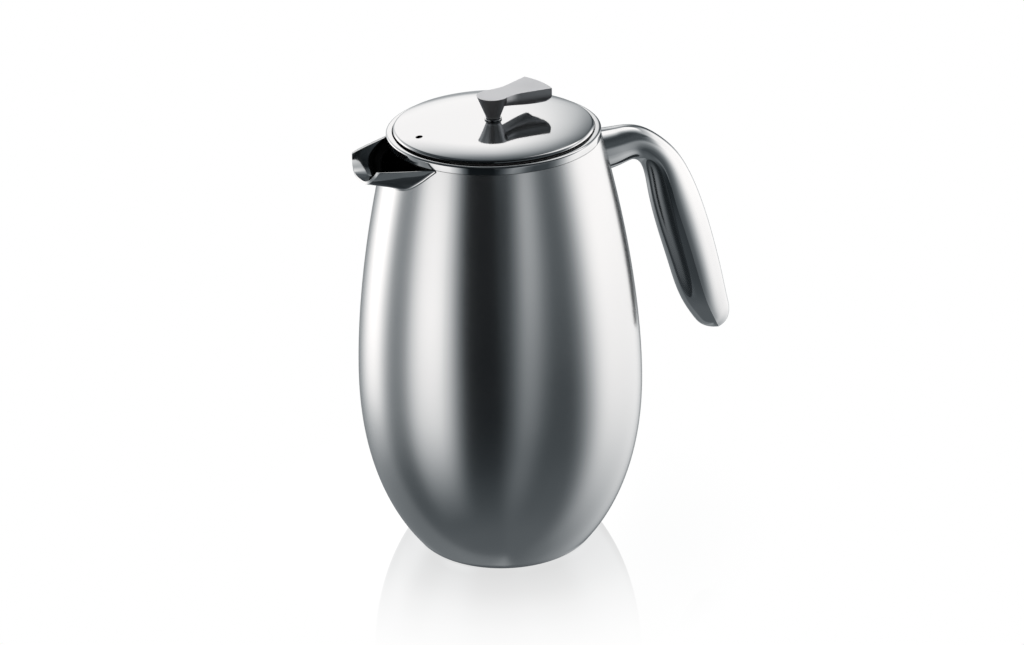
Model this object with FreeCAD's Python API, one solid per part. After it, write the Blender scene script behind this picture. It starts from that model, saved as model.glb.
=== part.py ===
import FreeCAD, Part
import math
import os

# Double-walled stainless steel french press, in millimetres.
# The origin is on the vessel's axis, in the plane that the foot stands on.
# +Z is up, +X points to the handle and -X to the spout.

# --- Vessel ---------------------------------------------------------------
wall = 0.8                 # sheet thickness of both vessel walls
body_r = 62.0              # outer radius at the belly
body_h = 187.0             # height of the outer wall, up to the seam
belly_z = 75.0             # height of the widest place
neck_r = 45.0              # outer radius at the seam
foot_r = 40.0              # radius of the foot's outer edge
foot_flange = 3.0          # width of the flat ring that the press stands on
foot_lip_h = 3.0           # height of the lip inside the foot
belly_power = 2.15         # how square the lower part of the egg is
shoulder_power = 1.74      # how square the upper part of the egg is
base_plate_t = 0.8         # the plate lies flush with the foot
base_bead_r = 27.0         # radius of the stiffening bead pressed into the plate
base_bead_w = 2.4
base_bead_depth = 0.4
bore_r = 41.5              # inside radius of the inner vessel
inner_floor_z = 8.8        # height of the drink's floor
inner_corner_r = 6.0       # outer corner radius at the floor
collar_h = 3.4             # height of the polished band above the seam
collar_shoulder_r = 0.8    # rounding of the band's top edge

# --- Spout ----------------------------------------------------------------
spout_t = 1.2              # sheet thickness
spout_rise = 0.6           # top edge above the seam
spout_reach = 16.0         # tip beyond the neck
spout_tip_half = 13.2      # half width at the tip, on top
spout_tip_depth = 7.8      # depth of the tip below the top edge
spout_root_in = 3.0        # root section inside the neck
spout_root_half = 21.8     # half width at the root, on top
spout_root_depth = 14.2    # depth at the root
spout_root_power = 3.0     # how square the root section is
spout_tip_power = 2.8      # how square the tip section is

# --- Handle ---------------------------------------------------------------
handle_t = 1.2             # sheet thickness of the hollow handle
handle_drop = 16.4         # centre of the root below the seam
# Each row is one cross-section: distance out from the body's wall at the root,
# distance below the root's centre, half thickness, half width, and how far the
# crease between the two halves lies towards the body (share of half thickness).
handle_sections = [
    (-4.0, 0.3, 9.8, 10.2, 0.0),
    (8.0, 0.4, 9.0, 8.6, 0.0),
    (17.8, 0.3, 7.8, 7.4, 0.1),
    (26.8, 5.2, 7.3, 7.8, 0.2),
    (32.4, 12.2, 8.6, 8.6, 0.3),
    (37.6, 24.5, 10.8, 9.6, 0.4),
    (43.2, 41.3, 12.0, 10.3, 0.4),
    (49.3, 60.8, 11.9, 10.5, 0.4),
    (55.0, 79.0, 10.9, 10.0, 0.4),
    (59.3, 89.0, 9.2, 8.6, 0.4),
    (62.0, 95.2, 6.9, 6.6, 0.4),
    (63.0, 99.0, 3.6, 3.8, 0.4),
]
handle_cavity_last = 9     # the cavity stops at this cross-section

# --- Lid ------------------------------------------------------------------
lid_t = 0.8
lid_inset = 2.8            # the cover's edge inside the collar's
lid_edge_r = 0.95          # radius of the rolled edge
lid_sag = 1.5              # fall of the cover from its centre to its edge
lid_sag_power = 4.0
skirt_t = 0.8
skirt_h = 6.4              # skirt below the collar's top
vent_r = 0.9
vent_x = 34.5              # vent hole from the axis, on the spout's side

# --- Rod guide ------------------------------------------------------------
guide_wall = 0.75
guide_flange_w = 0.8
guide_flange_t = 0.6
retainer_r = 6.5
retainer_t = 1.0

# --- Plunger --------------------------------------------------------------
rod_r = 2.2
knob_neck_wall = 0.85      # metal around the rod at the knob's neck
knob_head_r = 6.4
knob_h = 9.6               # knob above the guide's flange
knob_turn = 9.0            # degrees that the thumb plate is turned from +X
plate_reach = 25.3         # thumb plate's end from the axis
plate_corner_x = 23.9      # its corners from the axis
plate_half = 9.1           # its half width at the corners
plate_waist_x = 8.0        # its narrow place from the axis
plate_waist_half = 5.9
plate_t = 6.4              # its thickness at the thickest place
plate_end_t = 4.8          # its thickness at the end
rod_grip = 7.0             # rod inside the knob
grounds_space = 12.0       # room for the grounds under the filter pack
hub_r = 5.2                # hub nut, to its corners
hub_h = 3.4
cross_t = 1.0
cross_clear = 2.9          # cross plate's edge inside the bore
cross_rim = 3.0            # width of the cross plate's outer ring
cross_arm = 7.0            # width of its arms
cross_hub_r = 9.0
cross_arms = 6
mesh_t = 0.3
spiral_t = 0.8
spiral_hole_r = 2.4
spiral_rings = ((12.0, 8), (20.0, 12), (28.0, 18))
coil_wire_r = 1.75         # radius of the coil that edges the filter
rod_collar_r = 5.0
rod_collar_h = 4.0

# --- Clearances -----------------------------------------------------------
seat_gap = 0.05            # between pieces of one body that are seated on each other
handle_seam = 0.15         # between the handle's halves along the crease
run_gap = 0.05             # radial, between a sliding or turning piece and its guide
free_gap = 0.3             # between bodies that only pass each other

# --- Heights and radii that follow ----------------------------------------
collar_top = body_h + collar_h
inner_r = bore_r + wall
spout_top = body_h + spout_rise
spout_tip_x = neck_r + spout_reach
spout_root_x = neck_r - spout_root_in
lid_r = neck_r - lid_inset
lid_edge_z = collar_top + free_gap + lid_edge_r
lid_top = lid_edge_z + lid_edge_r + lid_sag
skirt_r = bore_r - free_gap
skirt_bottom = collar_top - skirt_h
guide_r = rod_r + run_gap + guide_wall
guide_flange_r = guide_r + guide_flange_w
lid_hole_r = guide_r + run_gap
knob_neck_r = rod_r + seat_gap + knob_neck_wall
guide_top = lid_top + 2 * run_gap + guide_flange_t
knob_bottom = guide_top + free_gap
knob_top = knob_bottom + knob_h
hub_z = inner_floor_z + grounds_space - hub_h
cross_z = inner_floor_z + grounds_space
cross_r = bore_r - cross_clear
mesh_z = cross_z + cross_t
spiral_z = mesh_z + mesh_t
coil_r = bore_r - free_gap - coil_wire_r
coil_z = mesh_z + mesh_t + seat_gap + coil_wire_r
spiral_r = coil_r - coil_wire_r - seat_gap
rod_collar_z = spiral_z + spiral_t

Z = FreeCAD.Vector(0, 0, 1)


def vec(x, y, z):
    return FreeCAD.Vector(x, y, z)


def outer_radius(z):
    """Outer radius of the egg-shaped body at height z."""
    if z <= belly_z:
        below = (belly_z - z) / belly_z
        return body_r * math.sqrt(1 - (1 - (foot_r / body_r) ** 2) * below ** belly_power)
    above = (z - belly_z) / (body_h - belly_z)
    return body_r - (body_r - neck_r) * above ** shoulder_power


def egg_points(inset, low):
    """Points (r, z) along the body's outline from height low up, moved inwards by inset."""
    points = []
    count = 16
    step = 0.05
    for i in range(count + 1):
        z = low + (body_h - low) * i / count
        below = max(z - step, 0)
        above = min(z + step, body_h)
        slope = (outer_radius(above) - outer_radius(below)) / (above - below)
        length = math.sqrt(1 + slope ** 2)
        points.append((outer_radius(z) - inset / length, z + inset * slope / length))
    return points


def curve(points):
    """Smooth edge through 3-D points."""
    spline = Part.BSplineCurve()
    spline.interpolate([vec(*p) for p in points])
    return spline.toShape()


def section_curve(points):
    """Smooth edge through (r, z) points in the XZ plane."""
    return curve([(r, 0, z) for r, z in points])


def lines(points):
    """Straight edges through (r, z) points in the XZ plane."""
    return Part.makePolygon([vec(r, 0, z) for r, z in points]).Edges


def revolve(edges):
    """Solid of revolution about Z from a closed set of edges in the XZ plane."""
    wire = Part.Wire(Part.__sortEdges__(edges))
    return Part.Face(wire).revolve(vec(0, 0, 0), Z, 360)


def turned(points):
    """Solid of revolution about Z from a closed polygon of (r, z) points."""
    return revolve(lines(points + [points[0]]))


def tube(outer, inner, low, high):
    return turned([(inner, low), (outer, low), (outer, high), (inner, high)])


def body_solid(gap):
    """The whole egg as one solid, grown outwards by gap."""
    outline = egg_points(-gap, 0)
    edges = [section_curve(outline)]
    first = outline[0]
    last = outline[-1]
    edges += lines([last, (0, last[1]), (0, first[1]), first])
    return revolve(edges)


# --- Spout ----------------------------------------------------------------
def trough_wire(x, half, depth, power, inset, lift):
    """Closed U-shaped section of the spout at -x, open edge on top."""
    width = half - inset
    drop = depth - inset
    count = 10
    points = []
    for i in range(count + 1):
        side = math.sin(math.pi * (i / count - 0.5))
        points.append((-x, width * side, spout_top - drop * (1 - abs(side) ** power)))
    left = points[0]
    right = points[-1]
    top = spout_top + lift
    edges = [curve(points)]
    corners = [right, (-x, right[1], top), (-x, left[1], top), left]
    if lift == 0:
        corners = [right, left]
    edges += Part.makePolygon([vec(*c) for c in corners]).Edges
    return Part.Wire(Part.__sortEdges__(edges))


def trough(inset, reach, lift):
    """Solid trough from inside the vessel to the tip, extended past the tip by reach."""
    run = spout_tip_x - spout_root_x
    start = (spout_root_x - bore_r * math.cos(math.radians(60))) / run

    def blend(root, tip, share):
        return root + (tip - root) * share

    wires = []
    for share in (-start, 0.0, 1.0 + reach / run):
        held = max(share, 0.0)
        wires.append(trough_wire(
            blend(spout_root_x, spout_tip_x, share),
            blend(spout_root_half, spout_tip_half, share),
            blend(spout_root_depth, spout_tip_depth, held),
            blend(spout_root_power, spout_tip_power, held),
            inset, lift))
    return Part.makeLoft(wires, True, True)


def spout():
    sheet = trough(0, 0, 0).cut(trough(spout_t, 1, 1))
    return sheet.cut(Part.makeCylinder(bore_r, body_h + collar_h))


def notch(lift):
    """What the spout takes out of the walls: the trough and the space up to lift above it."""
    return trough(-seat_gap, 1, lift)


# --- Vessel ---------------------------------------------------------------
def outer_shell():
    outside = egg_points(0, 0)
    inside = egg_points(wall, wall)
    inside[-1] = (inside[-1][0], body_h)
    lip_r = foot_r - foot_flange
    foot = [inside[0], (lip_r + wall, inside[0][1]), (lip_r + wall, foot_lip_h), (lip_r, foot_lip_h),
            (lip_r, 0), outside[0]]
    edges = [section_curve(outside), section_curve(inside)]
    edges += lines(foot) + lines([outside[-1], inside[-1]])
    return revolve(edges).cut(notch(collar_h))


def inner_vessel():
    floor = inner_floor_z - wall
    corner = inner_corner_r
    bend = corner - wall
    arc = math.sqrt(0.5)
    centre_r = inner_r - corner
    centre_z = floor + corner
    outer_arc = Part.Arc(vec(centre_r, 0, floor), vec(centre_r + corner * arc, 0, centre_z - corner * arc),
                         vec(inner_r, 0, centre_z)).toShape()
    inner_arc = Part.Arc(vec(centre_r, 0, inner_floor_z),
                         vec(centre_r + bend * arc, 0, centre_z - bend * arc),
                         vec(bore_r, 0, centre_z)).toShape()
    edges = [outer_arc, inner_arc]
    edges += lines([(0, inner_floor_z), (0, floor), (centre_r, floor)])
    edges += lines([(inner_r, centre_z), (inner_r, collar_top), (bore_r, collar_top), (bore_r, centre_z)])
    edges += lines([(centre_r, inner_floor_z), (0, inner_floor_z)])
    return revolve(edges).cut(notch(collar_h))


def base_plate():
    plate = Part.makeCylinder(foot_r - foot_flange - seat_gap, base_plate_t)
    return plate.cut(tube(base_bead_r + base_bead_w, base_bead_r, -1, base_bead_depth))


def neck_collar():
    """Ring around the neck's top, which passes just over the spout."""
    inside = inner_r + seat_gap
    shoulder = collar_shoulder_r
    arc = math.sqrt(0.5)
    centre = (neck_r - shoulder, collar_top - shoulder)
    bend = Part.Arc(vec(neck_r, 0, centre[1]), vec(centre[0] + shoulder * arc, 0, centre[1] + shoulder * arc),
                    vec(centre[0], 0, collar_top)).toShape()
    edges = [bend]
    edges += lines([(centre[0], collar_top), (inside, collar_top), (inside, body_h), (neck_r, body_h),
                    (neck_r, centre[1])])
    return revolve(edges).cut(notch(seat_gap))


# --- Handle ---------------------------------------------------------------
def handle_frames():
    """Centre, outward direction and sizes of each cross-section of the handle."""
    root_z = body_h - handle_drop
    root_x = outer_radius(root_z)
    centres = [vec(root_x + out, 0, root_z - down) for out, down, p, q, c in handle_sections]
    spine = Part.BSplineCurve()
    spine.interpolate(centres)
    frames = []
    for centre, row in zip(centres, handle_sections):
        tangent = vec(*spine.tangent(spine.parameter(centre))[0])
        outward = vec(-tangent.z, 0, tangent.x)
        frames.append((centre, outward, row[2], row[3], row[4]))
    return frames


def half_points(frame, inset, side, drop=0.0):
    """One half of a cross-section: side 1 is the rounded outer half, -1 the flatter inner half.

    inset moves it in from the outside, and drop moves its crease line towards the body.
    """
    centre, outward, thick, wide, crease = frame
    p = thick - inset
    q = wide - inset
    line = -crease * thick - drop
    count = 10
    points = []
    for i in range(count + 1):
        angle = math.pi * i / count
        across = math.cos(angle)
        if side > 0:
            height = line + (p - line) * math.sin(angle)
        else:
            keel = 2 * crease
            height = line - (p + line) * ((1 - keel) * math.sin(angle) + keel * math.sin(angle) ** 2)
        points.append(centre + outward * height + vec(0, q * across, 0))
    return points


def handle_half(side):
    """Solid outer or inner half of the handle, closed by a flat across the crease."""
    wires = []
    drop = handle_seam if side < 0 else 0
    for frame in handle_frames():
        points = half_points(frame, 0, side, drop)
        edges = [curve(points), Part.makeLine(points[-1], points[0])]
        wires.append(Part.Wire(edges))
    return Part.makeLoft(wires, True, False)


def handle_cavity():
    wires = []
    for frame in handle_frames()[:handle_cavity_last + 1]:
        wires.append(Part.Wire([curve(half_points(frame, handle_t, 1)),
                                curve(half_points(frame, handle_t, -1)[::-1])]))
    return Part.makeLoft(wires, True, False)


def handle_shell(side):
    return handle_half(side).cut(handle_cavity()).cut(body_solid(seat_gap))


# --- Lid ------------------------------------------------------------------
def lid_height(r):
    """Height of the cover's top surface at radius r."""
    return lid_top - lid_sag * (r / (lid_r - lid_edge_r)) ** lid_sag_power


def lid_cover():
    edge = lid_r - lid_edge_r
    count = 8
    radii = [lid_hole_r + (edge - lid_hole_r) * i / count for i in range(count + 1)]
    top = [(r, lid_height(r)) for r in radii]
    under = [(r, lid_height(r) - lid_t) for r in radii]
    bead_bottom = lid_edge_z - lid_edge_r
    arc = Part.Arc(vec(edge, 0, lid_edge_z + lid_edge_r), vec(lid_r, 0, lid_edge_z),
                   vec(edge, 0, bead_bottom)).toShape()
    edges = [section_curve(top), arc, section_curve(under)]
    edges += lines([(edge, bead_bottom), under[-1]]) + lines([under[0], top[0]])
    vent = Part.makeCylinder(vent_r, 4 * lid_t, vec(-vent_x, 0, lid_height(vent_x) - 2 * lid_t))
    return revolve(edges).cut(vent)


def lid_skirt():
    inside = skirt_r - skirt_t
    roof = lid_t + seat_gap
    return turned([(inside, skirt_bottom), (skirt_r, skirt_bottom), (skirt_r, lid_height(skirt_r) - roof),
                   (inside, lid_height(skirt_r) - roof)])


# --- Rod guide ------------------------------------------------------------
def guide_foot():
    """Height of the guide's lower end."""
    return lid_top - lid_t - 2 * run_gap - retainer_t - 1.0


def rod_guide():
    bore = rod_r + run_gap
    return turned([(bore, guide_foot()), (guide_r, guide_foot()), (guide_r, guide_top - guide_flange_t),
                   (guide_flange_r, guide_top - guide_flange_t), (guide_flange_r, guide_top),
                   (bore, guide_top)])


def guide_retainer():
    top = lid_height(retainer_r) - lid_t - 2 * run_gap
    return tube(retainer_r, guide_r + seat_gap, top - retainer_t, top)


# --- Plunger --------------------------------------------------------------
def thumb_plate():
    """Flag-shaped plate: its outline from above, cut to a rounded belly from the side."""
    waist = plate_waist_half
    head = (knob_head_r * 0.35, knob_head_r * 0.9)
    near = curve([(head[0], -head[1], 0), (plate_waist_x, -waist, 0), (plate_corner_x, -plate_half, 0)])
    far = curve([(head[0], head[1], 0), (plate_waist_x, waist, 0), (plate_corner_x, plate_half, 0)])
    end = Part.Arc(vec(plate_corner_x, -plate_half, 0), vec(plate_reach, 0, 0),
                   vec(plate_corner_x, plate_half, 0)).toShape()
    start = Part.makeLine(vec(head[0], -head[1], 0), vec(head[0], head[1], 0))
    outline = Part.Face(Part.Wire(Part.__sortEdges__([start, near, end, far])))
    prism = outline.extrude(Z * knob_h)
    prism.translate(Z * knob_bottom)
    left = 0.0
    right = plate_reach + 1
    middle = (plate_waist_x + plate_corner_x) / 2
    belly = Part.Arc(vec(left, 0, knob_top - plate_end_t), vec(middle, 0, knob_top - plate_t),
                     vec(right, 0, knob_top - plate_end_t)).toShape()
    side = [belly] + lines([(right, knob_top - plate_end_t), (right, knob_top), (left, knob_top),
                            (left, knob_top - plate_end_t)])
    block = Part.Face(Part.Wire(Part.__sortEdges__(side))).extrude(vec(0, 4 * plate_half, 0))
    block.translate(vec(0, -2 * plate_half, 0))
    plate = prism.common(block)
    plate.rotate(vec(0, 0, 0), Z, knob_turn)
    return plate


def knob():
    cone = turned([(0, knob_bottom), (knob_neck_r, knob_bottom), (knob_neck_r, knob_bottom + 0.6),
                   (knob_head_r, knob_top), (0, knob_top)])
    socket = Part.makeCylinder(rod_r + seat_gap, rod_grip, vec(0, 0, knob_bottom))
    return cone.fuse(thumb_plate()).cut(socket).removeSplitter()


def plunger_rod():
    low = hub_z + hub_h * 0.25
    return Part.makeCylinder(rod_r, knob_bottom + rod_grip - seat_gap - low, vec(0, 0, low))


def rod_collar():
    return tube(rod_collar_r, rod_r + seat_gap, rod_collar_z, rod_collar_z + rod_collar_h)


def spiral_plate():
    plate = tube(spiral_r, rod_r + seat_gap, spiral_z, spiral_z + spiral_t)
    holes = []
    for ring_r, count in spiral_rings:
        for i in range(count):
            angle = 2 * math.pi * i / count
            spot = vec(ring_r * math.cos(angle), ring_r * math.sin(angle), spiral_z - 1)
            holes.append(Part.makeCylinder(spiral_hole_r, spiral_t + 2, spot))
    return plate.cut(holes)


def filter_coil():
    return Part.makeTorus(coil_r, coil_wire_r, vec(0, 0, coil_z))


def mesh_screen():
    return tube(bore_r - free_gap, rod_r + seat_gap, mesh_z, mesh_z + mesh_t)


def cross_plate():
    hole_r = rod_r + seat_gap
    ring = tube(cross_r, cross_r - cross_rim, cross_z, cross_z + cross_t)
    plate = ring.fuse(tube(cross_hub_r, hole_r, cross_z, cross_z + cross_t))
    for i in range(cross_arms):
        arm = Part.makeBox(cross_r - cross_rim / 2 - cross_hub_r / 2, cross_arm, cross_t,
                           vec(cross_hub_r / 2, -cross_arm / 2, cross_z))
        arm.rotate(vec(0, 0, 0), Z, 360 * i / cross_arms)
        plate = plate.fuse(arm)
    return plate.removeSplitter()


def hub_nut():
    corners = []
    for i in range(7):
        angle = math.pi * i / 3
        corners.append(vec(hub_r * math.cos(angle), hub_r * math.sin(angle), hub_z))
    block = Part.Face(Part.makePolygon(corners)).extrude(Z * hub_h)
    socket = Part.makeCylinder(rod_r + seat_gap, hub_h, vec(0, 0, hub_z + hub_h * 0.25 - seat_gap))
    return block.cut(socket)


PIECES = {
    "outer_shell": outer_shell,
    "inner_vessel": inner_vessel,
    "base_plate": base_plate,
    "neck_collar": neck_collar,
    "spout": spout,
    "handle_outer_half": lambda: handle_shell(1),
    "handle_inner_half": lambda: handle_shell(-1),
    "lid_cover": lid_cover,
    "lid_skirt": lid_skirt,
    "rod_guide": rod_guide,
    "guide_retainer": guide_retainer,
    "knob": knob,
    "plunger_rod": plunger_rod,
    "rod_collar": rod_collar,
    "spiral_plate": spiral_plate,
    "filter_coil": filter_coil,
    "mesh_screen": mesh_screen,
    "cross_plate": cross_plate,
    "hub_nut": hub_nut,
}

os.makedirs("parts", exist_ok=True)
for name, make in PIECES.items():
    shape = make()
    shape.exportStep("parts/" + name + ".step")
    box = shape.BoundBox
    print(name, len(shape.Solids), shape.isValid(), round(shape.Volume, 1),
          [round(v, 1) for v in (box.XMin, box.XMax, box.YMin, box.YMax, box.ZMin, box.ZMax)])
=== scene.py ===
import math

import bmesh
import bpy
import numpy as np
from mathutils import Matrix, Vector


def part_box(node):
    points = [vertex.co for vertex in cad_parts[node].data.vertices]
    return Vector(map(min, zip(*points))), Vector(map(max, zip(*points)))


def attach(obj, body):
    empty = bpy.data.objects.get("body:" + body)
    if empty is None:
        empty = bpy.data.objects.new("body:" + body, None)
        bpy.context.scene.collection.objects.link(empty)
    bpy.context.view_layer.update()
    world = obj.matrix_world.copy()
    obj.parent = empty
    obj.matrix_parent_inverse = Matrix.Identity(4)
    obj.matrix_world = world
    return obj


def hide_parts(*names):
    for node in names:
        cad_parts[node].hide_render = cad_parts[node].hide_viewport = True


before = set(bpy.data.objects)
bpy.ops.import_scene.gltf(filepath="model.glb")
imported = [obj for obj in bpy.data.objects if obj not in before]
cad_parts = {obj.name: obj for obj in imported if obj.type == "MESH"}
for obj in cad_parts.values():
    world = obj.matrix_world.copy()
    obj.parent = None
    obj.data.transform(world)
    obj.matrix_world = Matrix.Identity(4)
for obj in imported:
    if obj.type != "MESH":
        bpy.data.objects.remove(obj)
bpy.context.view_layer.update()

# Shapes are worked out in millimetres and turned into metres when a mesh is made.
MM = 0.001


def cad(node):
    """A CAD node's lowest and highest corners in millimetres."""
    low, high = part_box(node)
    return [v / MM for v in low], [v / MM for v in high]


# --- Sizes ------------------------------------------------------------------
shell_low, shell_high = cad("outer_shell")
lid_low, lid_high = cad("lid_cover")
collar_low, collar_high = cad("neck_collar")
skirt_low, skirt_high = cad("lid_skirt")
guide_low, guide_high = cad("rod_guide")
knob_low, knob_high = cad("knob")
rod_low, rod_high = cad("plunger_rod")
mesh_low, mesh_high = cad("mesh_screen")
spiral_low, spiral_high = cad("spiral_plate")
cross_low, cross_high = cad("cross_plate")
coil_low, coil_high = cad("filter_coil")
vessel_low, vessel_high = cad("inner_vessel")

WALL = 0.8
BODY_R = shell_high[0]
BODY_H = 187.0
BELLY_Z = 75.0
NECK_R = 45.0
FOOT_R = 40.0
FOOT_FLANGE = 3.0
BELLY_POWER = 2.15
SHOULDER_POWER = 1.74
BORE_R = 41.5
FLOOR_Z = 8.8
COLLAR_TOP = collar_high[2]
SHOULDER = (1.2, 0.8)              # width and height of the collar's rounded top edge

SPOUT_T = 1.2
SPOUT_TOP = shell_high[2] if shell_high[2] > BODY_H else BODY_H + 0.6
SPOUT_TIP_X = 61.0
SPOUT_NOSE = 0.9                   # how far the tip's middle stands out
SPOUT_CORNER = 2.0                 # how far its corners stand back
SPOUT_ROOT_X = 42.0
SPOUT_TIP = (13.2, 7.8, 2.8)       # half width, depth, squareness
SPOUT_ROOT = (21.8, 14.2, 3.0)

HANDLE_ROOT_Z = BODY_H - 16.4
# out from the body's wall, down from the root, half thickness, half width, crease
HANDLE_SECTIONS = [
    (-4.0, 0.3, 9.8, 10.2, 0.0),
    (8.0, 0.4, 9.0, 8.6, 0.0),
    (17.8, 0.3, 7.8, 7.4, 0.1),
    (26.8, 5.2, 7.3, 7.8, 0.2),
    (32.4, 12.2, 8.6, 8.6, 0.3),
    (37.6, 24.5, 10.8, 9.6, 0.4),
    (43.2, 41.3, 12.0, 10.3, 0.4),
    (49.3, 60.8, 11.9, 10.5, 0.4),
    (55.0, 79.0, 10.9, 10.0, 0.4),
    (59.3, 89.0, 9.2, 8.6, 0.4),
    (62.0, 95.2, 6.9, 6.6, 0.4),
    (63.0, 99.0, 3.6, 3.8, 0.4),
]
HANDLE_TRIM = 0.975                # keeps the handle's bulge inside the CAD's
SEAM_STEP = 0.12                   # the inner half's edge inside the outer half's

LID_R = lid_high[0]
LID_RIM_R = 1.5
LID_SAG = 2.2
LID_SAG_R = 42.0
LID_SAG_POWER = 4.5
LID_T = 0.8
LID_TOP = lid_high[2]
VENT_R = 1.5
VENT_X = 34.5

KNOB_NECK_R = 3.1
KNOB_HEAD_R = 6.7
KNOB_TURN = math.radians(9.0)
PLATE_REACH = 25.3
PLATE_CORNER_X = 23.9
PLATE_HALF = 9.4
PLATE_WAIST_X = 8.8
PLATE_WAIST_HALF = 5.6
PLATE_T = 6.7                      # thickness near its end
PLATE_ROOT_T = 3.9                 # thickness at the cone
PLATE_THICK_X = 21.0               # where it is thickest
PLATE_END_R = 3.4                  # rounding of its end, seen from the side
PLATE_UNDER = 0.45                 # share of its width that is rounded away underneath

ROD_R = 2.2
COIL_WIRE = 0.36
COIL_TURNS = 150


# --- Mesh helpers -------------------------------------------------------------
def piece(name, verts, faces, body, material, nodes=(), sharp=35.0):
    """A mesh piece from points in millimetres, riding on a CAD body."""
    mesh = bpy.data.meshes.new(name)
    mesh.from_pydata([(x * MM, y * MM, z * MM) for x, y, z in verts], [], faces)
    mesh.validate()
    clean = bmesh.new()
    clean.from_mesh(mesh)
    bmesh.ops.remove_doubles(clean, verts=clean.verts, dist=1e-7)
    bmesh.ops.recalc_face_normals(clean, faces=clean.faces)
    clean.to_mesh(mesh)
    clean.free()
    mesh.polygons.foreach_set("use_smooth", [True] * len(mesh.polygons))
    mesh.set_sharp_from_angle(angle=math.radians(sharp))
    obj = bpy.data.objects.new(name, mesh)
    bpy.context.scene.collection.objects.link(obj)
    mesh.materials.append(material)
    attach(obj, body)
    if nodes:
        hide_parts(*nodes)
    return obj


def bevel(obj, width, segments=3, angle=40.0):
    """Small rounded edges on a piece, in millimetres."""
    mod = obj.modifiers.new("edges", "BEVEL")
    mod.width = width * MM
    mod.segments = segments
    mod.limit_method = "ANGLE"
    mod.angle_limit = math.radians(angle)
    mod.harden_normals = True
    return mod


def grid_faces(rows, columns, close_columns=False, close_rows=False, offset=0):
    """Quads between the points of a grid stored row by row."""
    faces = []
    for i in range(rows if close_rows else rows - 1):
        for j in range(columns if close_columns else columns - 1):
            a = i * columns + j
            b = i * columns + (j + 1) % columns
            c = ((i + 1) % rows) * columns + (j + 1) % columns
            d = ((i + 1) % rows) * columns + j
            faces.append(tuple(offset + k for k in (a, b, c, d)))
    return faces


def rounded(points, radii, steps=6):
    """A closed outline with its corners rounded. points are (r, z) pairs."""
    outline = []
    count = len(points)
    for i, (point, radius) in enumerate(zip(points, radii)):
        here = Vector(point)
        before = (Vector(points[i - 1]) - here)
        after = (Vector(points[(i + 1) % count]) - here)
        if radius <= 0:
            outline.append(tuple(here))
            continue
        angle = before.angle(after)
        cut = min(radius / math.tan(angle / 2), before.length * 0.49, after.length * 0.49)
        radius = cut * math.tan(angle / 2)
        centre = here + (before.normalized() + after.normalized()).normalized() * (
            radius / math.sin(angle / 2))
        start = here + before.normalized() * cut - centre
        end = here + after.normalized() * cut - centre
        for k in range(steps + 1):
            share = k / steps
            total = start.angle(end)
            a = math.sin((1 - share) * total) / math.sin(total)
            b = math.sin(share * total) / math.sin(total)
            outline.append(tuple(centre + start * a + end * b))
    return outline


def lathe(outline, segments=192):
    """Points and faces of a closed (r, z) outline turned about Z."""
    verts = []
    for r, z in outline:
        for j in range(segments):
            angle = 2 * math.pi * j / segments
            verts.append((r * math.cos(angle), r * math.sin(angle), z))
    return verts, grid_faces(len(outline), segments, close_columns=True, close_rows=True)


def cut_with(obj, cutters):
    """Takes other meshes out of a piece, and removes the cutters."""
    for cutter in cutters:
        mod = obj.modifiers.new("cut", "BOOLEAN")
        mod.object = cutter
        mod.solver = "EXACT"
    bpy.context.view_layer.update()
    graph = bpy.context.evaluated_depsgraph_get()
    mesh = bpy.data.meshes.new_from_object(obj.evaluated_get(graph))
    obj.modifiers.clear()
    old = obj.data
    obj.data = mesh
    bpy.data.meshes.remove(old)
    for cutter in cutters:
        bpy.data.objects.remove(cutter)
    mesh.polygons.foreach_set("use_smooth", [True] * len(mesh.polygons))
    mesh.set_sharp_from_angle(angle=math.radians(35))


def loose(name, verts, faces):
    """A bare mesh object, in millimetres, used to cut another."""
    mesh = bpy.data.meshes.new(name)
    mesh.from_pydata([(x * MM, y * MM, z * MM) for x, y, z in verts], [], faces)
    fix = bmesh.new()
    fix.from_mesh(mesh)
    bmesh.ops.remove_doubles(fix, verts=fix.verts, dist=1e-7)
    bmesh.ops.recalc_face_normals(fix, faces=fix.faces)
    fix.to_mesh(mesh)
    fix.free()
    obj = bpy.data.objects.new(name, mesh)
    bpy.context.scene.collection.objects.link(obj)
    return obj


def post(x, y, low, high, radius, sides=32):
    """An upright rod of points and faces, to cut a hole with."""
    verts = []
    for z in (low, high):
        for k in range(sides):
            angle = 2 * math.pi * k / sides
            verts.append((x + radius * math.cos(angle), y + radius * math.sin(angle), z))
    faces = grid_faces(2, sides, close_columns=True)
    faces += [tuple(range(sides))[::-1], tuple(range(sides, 2 * sides))]
    return verts, faces


def tube_along(points, radius, sides=8, closed=False):
    """A round tube along a path of points."""
    path = [Vector(p) for p in points]
    count = len(path)
    verts = []
    normal = None
    for i, point in enumerate(path):
        ahead = path[(i + 1) % count] if closed or i + 1 < count else point
        behind = path[i - 1] if closed or i > 0 else point
        tangent = (ahead - behind).normalized()
        if normal is None:
            normal = tangent.orthogonal().normalized()
        normal = (normal - tangent * normal.dot(tangent)).normalized()
        side = tangent.cross(normal)
        for k in range(sides):
            angle = 2 * math.pi * k / sides
            verts.append(tuple(point + (normal * math.cos(angle) + side * math.sin(angle)) * radius))
    faces = grid_faces(count, sides, close_columns=True, close_rows=closed)
    if not closed:
        faces += [tuple(range(sides))[::-1], tuple(range((count - 1) * sides, count * sides))]
    return verts, faces


def joined(*parts):
    """Several (verts, faces) pairs as one."""
    verts, faces = [], []
    for more_verts, more_faces in parts:
        base = len(verts)
        verts += list(more_verts)
        faces += [tuple(base + i for i in face) for face in more_faces]
    return verts, faces


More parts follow.
